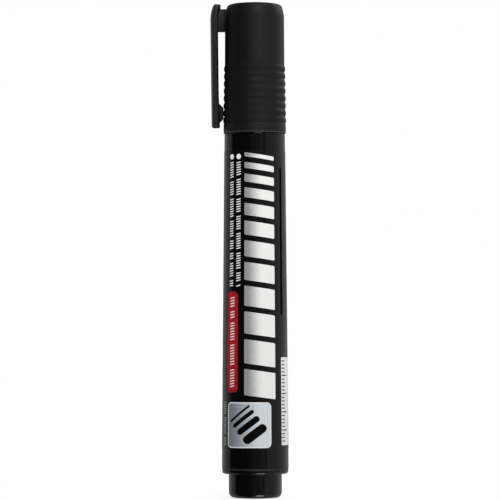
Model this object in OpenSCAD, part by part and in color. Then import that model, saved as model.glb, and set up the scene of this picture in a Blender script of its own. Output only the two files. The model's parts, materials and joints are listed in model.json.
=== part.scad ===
// Permanent marker with a ringed push-on cap, a pocket clip and a round nib.
// It stands on its tail end with the cap on. All sizes are in millimetres.
// Origin: centre of the flat tail end. +Z runs along the axis towards the cap.
// The clip is on the -X side, and the front of the printed wrap faces -Y.

/* [Barrel] */
// Height of the shoulder that the cap comes down to
shoulder_z = 100.7; // [99:0.1:104]
// Outer radius at the shoulder
barrel_front_r = 8.4; // [8.3:0.01:8.45]
// Outer radius at the rear end
barrel_rear_r = 9.24; // [9.2:0.01:9.4]
// Thickness of the tube wall
barrel_wall = 1.5; // [1.4:0.05:1.6]
// Length of the collar that the cap slides over
collar_len = 8.1; // [7.8:0.1:8.4]
// Radius of the collar
collar_r = 7.2; // [7.1:0.01:7.25]
// Radius of the snap bead on the collar
bead_r = 7.35; // [7.3:0.01:7.37]
// Number of ribs that centre the reservoir
rib_count = 6; // [4:1:8]

/* [Tail plug] */
// Length of the tail from its end to the flange
tail_len = 6.65; // [6:0.05:7.5]
// Radius of the tail, which the cap's mouth also fits
tail_r = 7.35; // [7.15:0.01:7.37]
// Rounding of the tail's end
tail_fillet = 1.5; // [0.5:0.1:1.8]
// Thickness of the flange
flange_t = 1.35; // [1.1:0.05:1.5]
// Radius of the flange
flange_r = 9.16; // [9:0.01:9.18]
// Depth of the spigot inside the barrel
plug_depth = 7; // [6:0.5:8]

/* [Printed wrap] */
// Height of the lower edge of the wrap
wrap_bottom = 13.5; // [12:0.1:16]
// Height of the upper edge of the wrap
wrap_top = 95.9; // [90:0.1:97]
// Thickness of the film
wrap_t = 0.06; // [0.05:0.01:0.12]

/* [Nib and reservoir] */
// Radius of the nib rod
nib_r = 2.2; // [2:0.05:2.3]
// Length of nib that stands out of the nose
nib_out = 6.4; // [5:0.1:7]
// Length of the nose in front of the collar
nose_len = 12.2; // [11:0.1:12.6]
// Radius of the nose at its tip
nose_tip_r = 3.4; // [3.2:0.05:3.8]
// Radius of the land that the inner cap seals on
land_r = 5; // [4.9:0.01:5.1]
// Radius of the fibre reservoir
core_r = 6.2; // [5.9:0.05:6.25]

/* [Cap] */
// Height from the shoulder to the top of the crown
cap_len = 36.3; // [35.8:0.1:37]
// Radius of the smooth shell just above the rings
shell_low_r = 8.3; // [8.27:0.01:8.33]
// Radius of the smooth shell below the crown
shell_top_r = 8.22; // [8.17:0.01:8.26]
// Radius of the lip at the mouth
lip_r = 8.66; // [8.62:0.01:8.7]
// Radius of the bore at the mouth
cap_bore_r = 7.4; // [7.39:0.01:7.45]
// Number of grip rings
ring_count = 8; // [6:1:8]
// Distance from one ring to the next
ring_pitch = 2.06; // [1.95:0.01:2.1]
// Height of a ring above its grooves
ring_h = 0.24; // [0.1:0.01:0.26]

/* [Clip] */
// Distance from the axis to the outer face of the clip at its root
clip_reach = 12.25; // [12.1:0.05:12.4]
// Thickness of the clip
clip_t = 2.05; // [1.8:0.05:2.1]
// Width of the clip at its head
clip_head_w = 5.6; // [5:0.1:6]
// Width of the clip at its tip
clip_tip_w = 4.8; // [4.4:0.1:5.2]
// Inward lean of the clip, in degrees
clip_lean = 0.8; // [0.4:0.1:0.9]
// Width of the bridge that carries the clip
bridge_w = 3.4; // [3:0.1:4]
// Width of the pip on the inside of the arm
pip_w = 3.2; // [2.6:0.1:4]

/* [Hidden] */
$fn = 96;

// Clearances of sliding fits, pressed fits and faces that meet end to end
run_gap = 0.05;
press_gap = 0.02;
seat_gap = 0.1;
// Overlap that joins two shapes of one piece
weld = 0.2;
// Steps in a drawn arc
arc_steps = 6;
// Small edge roundings and lead-in chamfers
edge_r = 0.15;
lead_in = 0.4;

// Barrel
barrel_rear_z = tail_len + flange_t;
plug_top_z = barrel_rear_z + plug_depth;
collar_top_z = shoulder_z + collar_len;
bead_z = shoulder_z + collar_len / 2;
bead_half = 0.6;
neck_z = shoulder_z - 1.5;
neck_cone_h = 1;
collar_wall = 1.25;
holder_bore_r = collar_r - collar_wall;
socket_r = barrel_rear_r - barrel_wall;
cavity_rear_r = socket_r - 0.08;
cavity_front_r = barrel_front_r - barrel_wall;
rib_t = 0.9;
rib_inner_r = core_r + 0.3;
rib_root_r = (barrel_front_r + cavity_rear_r) / 2;

// Printed wrap: the gap where its two edges meet at the back
wrap_seam = 0.4;

// Reservoir and nib
core_top_z = neck_z - 1.3;
core_bottom_z = plug_top_z + 2.6;
film_t = 0.2;
nib_in_core = 7.6;
nib_rear_z = core_top_z - nib_in_core;
nib_bore_r = nib_r + run_gap;
nib_tip_len = 3.6;
nib_blunt_r = 0.75;

// Nib holder
nose_z = collar_top_z + nose_len;
holder_rear_z = core_top_z + 0.6;
holder_flange_r = collar_r - 0.35;
holder_flange_t = 0.8;
land_z = collar_top_z + holder_flange_t;
land_len = 3.6;
land_step_r = 0.4;
land_step_h = 0.7;
nose_edge = 0.35;
nose_slope = 15;
funnel_r = 3.6;
funnel_len = 3.5;
funnel_cone_h = 1;
vent_count = 3;
vent_w = 0.7;
vent_depth = 0.6;

// Tail plug
plug_wall = 1.55;
plug_floor = 1.5;
flange_edge = 0.65;
tail_neck_fillet = 0.35;
fin_t = 1;

// Cap
mouth_z = shoulder_z + seat_gap;
crown_z = shoulder_z + cap_len;
lip_edge = 0.35;
mouth_chamfer = 0.3;
rings_z = mouth_z + 3.7;
groove_w = 0.3;
groove_low_r = 8.52;
groove_top_r = 8.3;
crown_cone_z = crown_z - 3.1;
crown_cone_top_z = crown_z - 1;
crown_cone_r = shell_top_r - 0.63;
crown_fillet = 0.8;
ceiling_z = crown_z - 1.8;
ceiling_chamfer = 0.6;
liner_bore_r = cap_bore_r - 0.25;
liner_seat_z = collar_top_z + 3.4;
liner_seat_cone_h = 0.6;
snap_groove_h = 0.15;

// Inner cap
liner_wall = 0.7;
liner_mouth_z = collar_top_z + 1.8;
liner_seal_r = land_r + run_gap;
liner_seal_len = 3;
liner_end_r = land_r - 0.5;
liner_end_z = nose_z + nib_out + 4.4;
liner_flange_r = liner_bore_r - run_gap;
liner_flange_t = 1.4;
liner_low_flange_z = liner_seat_z + 0.4;
liner_high_flange_z = liner_end_z - 3.6;
liner_stud_r = 1.5;

// Clip: head, arm, bridge and pip
bridge_top_z = crown_z - 1.48;
bridge_bottom_z = crown_z - 7.6;
bridge_root_r = liner_bore_r + 0.6;
clip_top_z = crown_z - 0.1;
clip_tip_z = mouth_z + 1.7;
clip_outer_x = -clip_reach;
clip_inner_x = clip_outer_x + clip_t;
clip_crown_r = 5.5;
clip_corner = 1.2;
head_slant_h = 3.1;
head_slant_w = 0.45;
head_shoulder_h = 1.2;
head_top_w = 0.95;
head_edge = 0.4;
head_flare = 0.85;
head_flare_h = 3.8;
tip_edge = 0.6;
hinge_x = clip_outer_x + clip_t / 2;
hinge_z = bridge_bottom_z;
knuckle_r = clip_t / 2;
pip_z = rings_z + ring_pitch;
pip_half = 2.8;
pip_tip_x = -(groove_low_r + ring_h + 0.15);
// Share of the pip's half length at which its flat tip begins
pip_flat = 0.5;
pip_h = (pip_tip_x - clip_inner_x) / (1 - pip_flat * pip_flat);
// The arm thickens towards its tip, from this height down
swell_z = pip_z + 2 * pip_half;
tip_swell = 0.25;

// Points on an arc about [cx, cy], from angle a0 to angle a1
function arc(cx, cy, r, a0, a1) =
    [for (i = [0:arc_steps])
        let (a = a0 + (a1 - a0) * i / arc_steps)
        [cx + r * cos(a), cy + r * sin(a)]];

// Straight line between two values as z goes from z0 to z1
function ramp(z, z0, z1, v0, v1) = v0 + (v1 - v0) * (z - z0) / (z1 - z0);

// Points of one convex band that stands h above the line of radius r, from z - half to z + half
function band(r, h, z, half) =
    [for (i = [0:arc_steps])
        let (t = 2 * i / arc_steps - 1)
        [r + h * (1 - t * t), z + t * half]];

// The same points taken from the top down
function reversed(points) = [for (i = [len(points) - 1:-1:0]) points[i]];

// Radius of the barrel's tapered outside at height z
function barrel_r(z) =
    ramp(z, barrel_rear_z + edge_r, shoulder_z - edge_r, barrel_rear_r, barrel_front_r);

// Radius at the bottom of the grooves between the rings
function groove_r(z) =
    ramp(z, rings_z, rings_z + (ring_count - 1) * ring_pitch, groove_low_r, groove_top_r);

// Outer radius of the inner cap's tapered wall
function liner_r(z) =
    liner_wall + ramp(z, liner_mouth_z, liner_end_z, liner_seal_r, liner_end_r);

// Points of one of the inner cap's flanges, from height z up
function liner_flange(z) = [
    [liner_r(z), z],
    [liner_flange_r, z],
    [liner_flange_r, z + liner_flange_t],
    [liner_r(z + liner_flange_t), z + liner_flange_t]];

// Turns an outline of [radius, height] points about the axis
module turned(points) {
    rotate_extrude() polygon(points);
}

// Places what follows at equal steps round the axis, starting half a step from +X
module around(count) {
    for (i = [0:count - 1])
        rotate((i + 0.5) * 360 / count) children();
}

// Cuts a side outline of [x, z] points out of a plate of width w centred on the XZ plane
module side_plate(w, points) {
    rotate([90, 0, 0]) linear_extrude(w, center = true) polygon(points);
}

module barrel() {
    color("#101011") union() {
        turned(concat(
            [[socket_r, barrel_rear_z]],
            arc(barrel_rear_r - edge_r, barrel_rear_z + edge_r, edge_r, -90, 0),
            arc(barrel_front_r - edge_r, shoulder_z - edge_r, edge_r, 0, 90),
            [[collar_r, shoulder_z]],
            band(collar_r, bead_r - collar_r, bead_z, bead_half),
            [[collar_r, collar_top_z - lead_in],
             [collar_r - lead_in, collar_top_z],
             [holder_bore_r, collar_top_z],
             [holder_bore_r, neck_z],
             [cavity_front_r, neck_z - neck_cone_h],
             [cavity_rear_r, plug_top_z],
             [socket_r, plug_top_z]]));
        around(rib_count) translate([rib_inner_r, -rib_t / 2, core_bottom_z])
            cube([rib_root_r - rib_inner_r, rib_t, neck_z - neck_cone_h - core_bottom_z]);
    }
}

module printed_wrap() {
    inner_low_r = barrel_r(wrap_bottom) + press_gap;
    inner_top_r = barrel_r(wrap_top) + press_gap;
    color("#1b1b1d") difference() {
        turned([
            [inner_low_r, wrap_bottom],
            [inner_low_r + wrap_t, wrap_bottom],
            [inner_top_r + wrap_t, wrap_top],
            [inner_top_r, wrap_top]]);
        translate([-wrap_seam / 2, 0, 0]) cube([wrap_seam, 2 * barrel_rear_r, crown_z]);
    }
}

module nib_holder() {
    spigot_r = holder_bore_r - press_gap;
    color("#161617") difference() {
        turned(concat(
            [[funnel_r, holder_rear_z],
             [spigot_r - lead_in, holder_rear_z],
             [spigot_r, holder_rear_z + lead_in],
             [spigot_r, collar_top_z],
             [holder_flange_r, collar_top_z],
             [holder_flange_r, land_z],
             [land_r, land_z],
             [land_r, land_z + land_len],
             [land_r - land_step_r, land_z + land_len + land_step_h]],
            arc(nose_tip_r - nose_edge, nose_z - nose_edge, nose_edge, nose_slope, 90),
            [[nib_bore_r, nose_z],
             [nib_bore_r, holder_rear_z + funnel_len + funnel_cone_h],
             [funnel_r, holder_rear_z + funnel_len]]));
        // Vent slots along the nib let air into the reservoir as ink leaves it
        around(vent_count) translate([0, -vent_w / 2, holder_rear_z])
            cube([nib_bore_r + vent_depth, vent_w, nose_z]);
    }
}

module nib() {
    tip_z = nose_z + nib_out;
    tip_base_z = tip_z - nib_tip_len;
    blunt_angle = acos(nib_blunt_r / nib_r);
    // The bullet tip is a quarter ellipse cut off at the blunt end
    color("#18181a") turned(concat(
        [[0, nib_rear_z], [nib_r, nib_rear_z]],
        [for (i = [0:2 * arc_steps])
            let (a = blunt_angle * i / (2 * arc_steps))
            [nib_r * cos(a), tip_base_z + nib_tip_len * sin(a)]],
        [[0, tip_z]]));
}

module ink_core() {
    color("#26262a") difference() {
        translate([0, 0, core_bottom_z]) cylinder(r = core_r, h = core_top_z - core_bottom_z);
        translate([0, 0, nib_rear_z - seat_gap]) cylinder(r = nib_bore_r, h = core_top_z);
    }
}

module core_film() {
    inner_r = core_r + press_gap;
    color("#d8d8d4") turned([
        [inner_r, core_bottom_z],
        [inner_r + film_t, core_bottom_z],
        [inner_r + film_t, core_top_z],
        [inner_r, core_top_z]]);
}

// A cross of two fins inside the tail plug, reaching out to radius r, from z0 to z1
module crossed_fins(r, z0, z1) {
    for (turn = [0, 90])
        rotate(turn) translate([-r, -fin_t / 2, z0]) cube([2 * r, fin_t, z1 - z0]);
}

module tail_plug() {
    spigot_r = socket_r - press_gap;
    hollow_r = spigot_r - plug_wall;
    color("#111112") union() {
        turned(concat(
            [[0, 0]],
            arc(tail_r - tail_fillet, tail_fillet, tail_fillet, -90, 0),
            arc(tail_r + tail_neck_fillet, tail_len - tail_neck_fillet, tail_neck_fillet, 180, 90),
            arc(flange_r - flange_edge, tail_len + flange_edge, flange_edge, -90, 0),
            [[flange_r, barrel_rear_z - edge_r],
             [flange_r - edge_r, barrel_rear_z],
             [spigot_r, barrel_rear_z],
             [spigot_r, plug_top_z - lead_in],
             [spigot_r - lead_in, plug_top_z],
             [hollow_r, plug_top_z],
             [hollow_r, plug_floor],
             [0, plug_floor]]));
        // The fins stiffen the tail, and their tops hold the reservoir forward
        crossed_fins(hollow_r + weld, plug_floor - weld, plug_top_z - weld);
        crossed_fins(hollow_r - weld, plug_floor, core_bottom_z - seat_gap);
    }
}

module inner_cap() {
    stud_top_z = ceiling_z - seat_gap;
    roof_z = liner_end_z + liner_wall;
    color("#e4e3dc") turned(concat(
        [[liner_seal_r, liner_mouth_z], [liner_r(liner_mouth_z), liner_mouth_z]],
        liner_flange(liner_low_flange_z),
        liner_flange(liner_high_flange_z),
        [[liner_r(liner_end_z), liner_end_z],
         [liner_end_r, roof_z],
         [liner_stud_r, roof_z],
         [liner_stud_r, stud_top_z],
         [0, stud_top_z],
         [0, liner_end_z],
         [liner_end_r, liner_end_z],
         [liner_seal_r, liner_mouth_z + liner_seal_len]]));
}

// Side outline of the clip, head and arm together, before it is leaned inwards
clip_side = concat(
    [[clip_outer_x, clip_top_z - head_slant_h],
     [clip_outer_x + head_slant_w, clip_top_z - head_shoulder_h]],
    arc(clip_outer_x + head_top_w + head_edge, clip_top_z - head_edge, head_edge, 150, 90),
    arc(clip_inner_x + head_flare - head_edge, clip_top_z - head_edge, head_edge, 90, -10),
    [[clip_inner_x, clip_top_z - head_flare_h],
     [clip_inner_x, swell_z]],
    arc(clip_inner_x + tip_swell - tip_edge, clip_tip_z + tip_edge, tip_edge, 0, -90),
    arc(clip_outer_x + tip_edge, clip_tip_z + tip_edge, tip_edge, -90, -180));

// Points of one flank of the pip, between two shares of its half length
function pip_flank(t0, t1) =
    [for (i = [0:arc_steps])
        let (t = t0 + (t1 - t0) * i / arc_steps)
        [clip_inner_x + pip_h * (1 - t * t), pip_z + t * pip_half]];

// Outline of the clip seen from outside: it narrows to a rounded tip
clip_front = concat(
    arc(clip_head_w / 2 - clip_corner, clip_top_z - clip_corner, clip_corner, 0, 90),
    arc(clip_corner - clip_head_w / 2, clip_top_z - clip_corner, clip_corner, 90, 180),
    arc(clip_corner - clip_tip_w / 2, clip_tip_z + clip_corner, clip_corner, 180, 270),
    arc(clip_tip_w / 2 - clip_corner, clip_tip_z + clip_corner, clip_corner, 270, 360));

// The clip as it is moulded, head and arm together, with its crowned outer face
module clip_blank() {
    intersection() {
        side_plate(2 * clip_head_w, clip_side);
        translate([-2 * clip_reach, 0, 0]) rotate([90, 0, 90])
            linear_extrude(2 * clip_reach) polygon(clip_front);
        translate([clip_outer_x + clip_crown_r, 0, 0]) cylinder(r = clip_crown_r, h = 2 * crown_z);
    }
}

// Leans what is drawn upright inwards, about the root of the clip's arm
module leaned() {
    translate([hinge_x, 0, hinge_z]) rotate([0, -clip_lean, 0])
        translate([-hinge_x, 0, -hinge_z]) children();
}

// Block that holds the clip's head, with its underside at the root of the arm
module head_block() {
    translate([-2 * clip_reach, -clip_reach, hinge_z])
        cube([2 * clip_reach, 2 * clip_reach, cap_len]);
}

// Round bar on the axis that the arm flexes about
module root_bar(r) {
    translate([hinge_x, 0, hinge_z]) rotate([90, 0, 0])
        cylinder(r = r, h = 2 * clip_head_w, center = true);
}

module cap() {
    cone_angle = atan((shell_top_r - crown_cone_r) / (crown_cone_top_z - crown_cone_z));
    fillet_x = crown_cone_r - crown_fillet * cos(cone_angle);
    fillet_z = crown_cone_top_z - crown_fillet * sin(cone_angle);
    dome_h = crown_z - fillet_z - crown_fillet;
    ring_half = (ring_pitch - groove_w) / 2;
    color("#1e1e1f") difference() {
        union() {
            turned(concat(
                [[cap_bore_r + mouth_chamfer, mouth_z]],
                arc(lip_r - lip_edge, mouth_z + lip_edge, lip_edge, -90, 0),
                [[lip_r, rings_z - ring_pitch / 2]],
                [for (k = [0:ring_count - 1])
                    let (z = rings_z + k * ring_pitch)
                    each band(groove_r(z), ring_h, z, ring_half)],
                [[shell_low_r, rings_z + (ring_count - 0.5) * ring_pitch],
                 [shell_top_r, crown_cone_z]],
                arc(fillet_x, fillet_z, crown_fillet, cone_angle, 90),
                [for (i = [arc_steps - 1:-1:0])
                    let (t = i / arc_steps)
                    [t * fillet_x, crown_z - dome_h * t * t]],
                [[0, ceiling_z],
                 [liner_bore_r - ceiling_chamfer, ceiling_z],
                 [liner_bore_r, ceiling_z - ceiling_chamfer],
                 [liner_bore_r, liner_seat_z],
                 [cap_bore_r, liner_seat_z - liner_seat_cone_h]],
                reversed(band(cap_bore_r, snap_groove_h, bead_z, bead_half)),
                [[cap_bore_r, mouth_z + mouth_chamfer]]));
            translate([hinge_x, -bridge_w / 2, bridge_bottom_z])
                cube([-bridge_root_r - hinge_x, bridge_w, bridge_top_z - bridge_bottom_z]);
            intersection() {
                leaned() clip_blank();
                head_block();
            }
        }
        root_bar(knuckle_r + run_gap);
    }
}

module clip() {
    color("#1e1e1f") union() {
        difference() {
            leaned() clip_blank();
            difference() {
                head_block();
                root_bar(knuckle_r);
            }
        }
        side_plate(pip_w, concat(
            [[hinge_x, pip_z + pip_half]],
            pip_flank(1, pip_flat),
            pip_flank(-pip_flat, -1),
            [[hinge_x, pip_z - pip_half]]));
    }
}

barrel();
printed_wrap();
nib_holder();
nib();
ink_core();
core_film();
tail_plug();
inner_cap();
cap();
clip();
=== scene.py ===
# %% [markdown]
# # A permanent marker, dressed for its picture
# The marker stands on its tail with the cap on. The frame already holds every part at its real size and
# place. This lesson gives each part the rounded edges, the printed film and the finishes that the eye
# looks for, and each new piece goes exactly where the frame says.

# %% Load the frame
import json
import math
import random

import bmesh
import bpy
from mathutils import Matrix, Vector


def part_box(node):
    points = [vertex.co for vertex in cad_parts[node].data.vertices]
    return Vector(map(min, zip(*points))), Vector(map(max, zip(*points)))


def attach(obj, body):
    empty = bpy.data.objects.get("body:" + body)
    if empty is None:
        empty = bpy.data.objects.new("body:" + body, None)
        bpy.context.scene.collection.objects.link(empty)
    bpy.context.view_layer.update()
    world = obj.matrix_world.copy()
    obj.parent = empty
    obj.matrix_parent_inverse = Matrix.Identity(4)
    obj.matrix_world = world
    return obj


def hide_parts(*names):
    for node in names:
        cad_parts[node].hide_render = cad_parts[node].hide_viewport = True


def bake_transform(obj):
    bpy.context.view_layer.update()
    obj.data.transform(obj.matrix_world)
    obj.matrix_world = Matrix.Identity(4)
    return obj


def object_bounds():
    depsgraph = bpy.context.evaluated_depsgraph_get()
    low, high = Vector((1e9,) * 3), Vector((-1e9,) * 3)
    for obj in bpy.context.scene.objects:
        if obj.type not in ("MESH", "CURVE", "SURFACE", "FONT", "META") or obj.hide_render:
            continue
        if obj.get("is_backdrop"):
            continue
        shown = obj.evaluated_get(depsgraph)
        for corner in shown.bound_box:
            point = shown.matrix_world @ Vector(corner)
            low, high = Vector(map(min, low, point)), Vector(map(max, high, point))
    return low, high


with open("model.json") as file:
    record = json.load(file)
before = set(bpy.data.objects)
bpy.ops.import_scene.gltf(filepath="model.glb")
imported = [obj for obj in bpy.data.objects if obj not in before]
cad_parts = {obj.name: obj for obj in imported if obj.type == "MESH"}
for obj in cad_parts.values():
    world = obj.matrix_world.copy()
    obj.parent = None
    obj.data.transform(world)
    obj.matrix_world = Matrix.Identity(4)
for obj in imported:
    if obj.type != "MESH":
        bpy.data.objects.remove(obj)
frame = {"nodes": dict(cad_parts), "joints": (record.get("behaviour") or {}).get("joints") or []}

cad_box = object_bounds()
print("parts in the frame:", sorted(frame["nodes"]))

# %% [markdown]
# ## Measuring the parts
# A maker works in millimetres and Blender in metres, so one factor turns one into the other. Two small
# tools read sizes off the frame: a box for lengths, and a caliper for the thickness at one height. Sizes
# that are read this way stay right if a part is ever changed.

# %% A box and a caliper
MM = 0.001
JAWS = 0.05


def span(node):
    """Lowest and highest corner of a part, in millimetres."""
    low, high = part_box(node)
    return low / MM, high / MM


def caliper(node, height, jaws=JAWS):
    """Largest radius of a part within the jaws at a height, measured on the side away from the clip."""
    corners = (v.co / MM for v in frame["nodes"][node].data.vertices)
    return max(math.hypot(p.x, p.y) for p in corners if p.x > 0 and abs(p.z - height) < jaws)


tail_low, tail_high = span("tail_plug")
barrel_low, barrel_high = span("barrel")
cap_low, cap_high = span("cap")
print(f"length {cap_high.z - tail_low.z:.1f} mm, barrel {2 * barrel_high.x:.1f} mm across")

# %% [markdown]
# ## The camera
# The photograph was taken from some way off with a long lens, a little below the middle of the marker.
# The marker fills the height of the picture, so the span that the picture takes in at the marker and the
# distance give the lens. The camera is then aimed at the height that lies in the middle of the picture.

# %% A long lens aimed at the middle of the marker
PICTURE_SPAN = 138.9
AIM_HEIGHT = 68.55
CAMERA_DISTANCE = 720
CAMERA_HEIGHT = 45
CAMERA_SIDE = -1.37
CAMERA_ROLL = -0.1

aim = Vector((CAMERA_SIDE, 0, AIM_HEIGHT))
stand = Vector((CAMERA_SIDE, -CAMERA_DISTANCE, CAMERA_HEIGHT))
lens = bpy.data.cameras.new("long_lens")
lens.lens = lens.sensor_width * (aim - stand).length / PICTURE_SPAN
camera = bpy.data.objects.new("camera", lens)
roll = Matrix.Rotation(math.radians(CAMERA_ROLL), 4, "Z")
look = (aim - stand).to_track_quat("-Z", "Y").to_matrix().to_4x4()
camera.matrix_world = Matrix.Translation(stand * MM) @ look @ roll
bpy.context.scene.collection.objects.link(camera)
bpy.context.scene.camera = camera
bpy.context.scene.view_settings.view_transform = "Standard"
print(f"lens {lens.lens:.0f} mm at {CAMERA_DISTANCE} mm")

# %% [markdown]
# ## The studio
# Black plastic shows mostly what is around it. The world is plain white to the eye and in reflections, and
# a dimmer grey where it only lights the marker, so that white ink stays just below white. A round tent
# stands between the marker and the white. It is seen only in reflections, dark towards the camera and paler
# at the sides and the back, and it draws the long soft bands down the barrel. Many narrow lamps could draw
# them too, but one ramp of greys round the tent is easier to tune.

# %% White surroundings
WORLD_LIGHT = 0.84
WHITE = (1, 1, 1, 1)


def placed(tree, kind, *inputs, operation=None, group=None, **named):
    """Places a node and feeds its inputs, in order or by name, from other nodes or with plain values."""
    made = tree.nodes.new(kind)
    if operation:
        made.operation = operation
    if group:
        made.node_tree = group
    fed = [*zip(made.inputs, inputs), *((made.inputs[label], value) for label, value in named.items())]
    for socket, value in fed:
        if isinstance(value, bpy.types.NodeSocket):
            tree.links.new(value, socket)
        else:
            socket.default_value = value
    return made


def reckoned(tree, operation, *inputs):
    """The result of a Math node."""
    return placed(tree, "ShaderNodeMath", *inputs, operation=operation).outputs[0]


def ranged(tree, value, from_low, from_high, to_low=0, to_high=1):
    """A value moved from one range to another."""
    return placed(tree, "ShaderNodeMapRange", value, from_low, from_high, to_low, to_high).outputs[0]


def seen_directly(tree):
    """A value of 1 where the eye, a reflection or a see-through piece meets the white, and 0 elsewhere."""
    path = tree.nodes.new("ShaderNodeLightPath").outputs
    first = reckoned(tree, "MAXIMUM", path["Is Camera Ray"], path["Is Glossy Ray"])
    return reckoned(tree, "MAXIMUM", first, path["Is Transmission Ray"])


world = bpy.data.worlds.new("white_studio")
world.use_nodes = True
bpy.context.scene.world = world
tree = world.node_tree
sky = tree.nodes["Background"]
sky.inputs["Color"].default_value = WHITE
tree.links.new(ranged(tree, seen_directly(tree), 0, 1, WORLD_LIGHT), sky.inputs["Strength"])
print("world made")

# %% The tent that the plastic mirrors
TENT_RADIUS, TENT_DEGREES = 1400, 80
TENT_ROWS, TENT_STEPS = 12, 64
# Compass of the tent: degrees to the right of the camera, and how bright the cloth is there
TENT_BANDS = [(-180, 0.16), (-138, 0.45), (-120, 0.36), (-99, 0.28), (-95, 0.03), (-35, 0.04), (-18, 0.06),
              (-6, 0.12), (14, 0.12), (22, 0.22), (30, 0.22), (38, 0.11), (44, 0.33), (80, 0.37), (115, 0.5),
              (138, 0.52), (180, 0.16)]


def bare_material(name):
    """A material that has no shader yet, and its nodes."""
    made = bpy.data.materials.new(name)
    made.use_nodes = True
    made.node_tree.nodes.remove(made.node_tree.nodes["Principled BSDF"])
    return made, made.node_tree


def as_object(bm, name, materials):
    """Makes an object of a bmesh, with its materials, and links it to the scene."""
    mesh = bpy.data.meshes.new(name)
    bm.to_mesh(mesh)
    bm.free()
    for material in materials:
        mesh.materials.append(material)
    made = bpy.data.objects.new(name, mesh)
    bpy.context.scene.collection.objects.link(made)
    return made


bm = bmesh.new()
rises = [math.radians(TENT_DEGREES * (2 * i / TENT_ROWS - 1)) for i in range(TENT_ROWS + 1)]
rim = [bm.verts.new((TENT_RADIUS * MM * math.cos(a), 0, TENT_RADIUS * MM * math.sin(a))) for a in rises]
seam = [bm.edges.new(pair) for pair in zip(rim, rim[1:])]
bmesh.ops.spin(bm, geom=rim + seam, axis=(0, 0, 1), angle=math.tau, steps=TENT_STEPS, use_merge=True)
cloth, tree = bare_material("tent_cloth")
tent = as_object(bm, "light_tent", [cloth])
tent.visible_camera = False
tent.visible_diffuse = False
tent.visible_shadow = False
tent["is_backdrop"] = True

place = placed(tree, "ShaderNodeTexCoord").outputs["Object"]
axes = placed(tree, "ShaderNodeSeparateXYZ", place).outputs
compass = reckoned(tree, "ARCTAN2", axes["X"], reckoned(tree, "MULTIPLY", axes["Y"], -1))
bands = placed(tree, "ShaderNodeValToRGB", ranged(tree, compass, -math.pi, math.pi))
stops = bands.color_ramp.elements
for degrees, _ in TENT_BANDS[1:-1]:
    stops.new((degrees + 180) / 360)
for stop, (_, shade) in zip(stops, TENT_BANDS):
    stop.color = (shade, shade, shade, 1)
glow = placed(tree, "ShaderNodeEmission", bands.outputs["Color"])
tree.links.new(glow.outputs[0], tree.nodes["Material Output"].inputs["Surface"])
print("tent bands:", len(stops))

# %% [markdown]
# Two soft lamps stand in front, a little to the right. Neither is mirrored in the upright wall. The high one
# gives the matte cap its broad sheen and the print its light. The low one leaves short bright bars on the
# rounded edges that face down. One more on the right, towards the back, draws the pale rim there. All are
# area lamps, because a point lamp would leave small hard spots on the plastic.

# %% Soft lamps
LAMP_DISTANCE = 900
# Degrees to the right of the camera, degrees up, watts and size
LAMPS = {"front_high": (15, 34, 2.1, 380), "front_low": (28, -58, 2.0, 400), "right": (135, 35, 1.5, 380)}

for name, (right, up, watts, size) in LAMPS.items():
    lamp = bpy.data.lights.new(f"lamp_{name}", "AREA")
    lamp.size = size * MM
    lamp.energy = watts
    turn, rise = math.radians(right), math.radians(up)
    towards = Vector((math.sin(turn) * math.cos(rise), -math.cos(turn) * math.cos(rise), math.sin(rise)))
    lamp_stand = bpy.data.objects.new(lamp.name, lamp)
    lamp_stand.location = (Vector((0, 0, cap_high.z / 2)) + towards * LAMP_DISTANCE) * MM
    lamp_stand.rotation_euler = towards.to_track_quat("Z", "Y").to_euler()
    bpy.context.scene.collection.objects.link(lamp_stand)
print("lamps:", list(LAMPS))

# %% [markdown]
# The floor is a small white disc that keeps the shadow at the foot of the marker and fades into the white
# around it. It lets the low lamp through and stays out of reflections, so that the glossy tail mirrors the
# dark of the tent as the rest of the barrel does.

# %% Floor
FLOOR_RADIUS, FLOOR_STEPS = 90, 96
FLOOR_DROP = 0.02
FLOOR_WHITE = (0.9, 0.9, 0.9, 1)
FLOOR_GLOW = 0.2
SHADOW_DEPTH = 0.3

bm = bmesh.new()
bmesh.ops.create_circle(bm, cap_ends=True, segments=FLOOR_STEPS, radius=FLOOR_RADIUS * MM,
                        matrix=Matrix.Translation((0, 0, -FLOOR_DROP * MM)))
paint, tree = bare_material("floor_white")
floor = as_object(bm, "floor", [paint])
floor.visible_glossy = False
floor.visible_shadow = False
floor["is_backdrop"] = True

seen = seen_directly(tree)
white = placed(tree, "ShaderNodeEmission", WHITE, seen)
under = placed(tree, "ShaderNodeEmission", WHITE, reckoned(tree, "MULTIPLY", seen, FLOOR_GLOW))
matte = placed(tree, "ShaderNodeBsdfDiffuse", FLOOR_WHITE)
lit = placed(tree, "ShaderNodeAddShader", matte.outputs[0], under.outputs[0])
place = placed(tree, "ShaderNodeTexCoord").outputs["Object"]
far = placed(tree, "ShaderNodeVectorMath", place, operation="LENGTH").outputs["Value"]
fade = placed(tree, "ShaderNodeMapRange", far, 0, FLOOR_RADIUS * MM, 1 - SHADOW_DEPTH, 1)
fade.interpolation_type = "SMOOTHSTEP"
top = placed(tree, "ShaderNodeMixShader", fade.outputs[0], lit.outputs[0], white.outputs[0])
clear = placed(tree, "ShaderNodeBsdfTransparent")
below = placed(tree, "ShaderNodeNewGeometry").outputs["Backfacing"]
both = placed(tree, "ShaderNodeMixShader", below, top.outputs[0], clear.outputs[0])
tree.links.new(both.outputs[0], tree.nodes["Material Output"].inputs["Surface"])
print("floor made")

# %% [markdown]
# ## Turning pieces
# Nearly every part of a marker is round, as if it came off a lathe, so nearly every piece is made the same
# way: draw half of the section as a line of corners, round the corners that are round, and spin the line
# about the axis. A lathe in Blender is the spin operator. A Screw modifier would do it too, but the operator
# leaves a plain mesh that later steps can cut and push.

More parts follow.
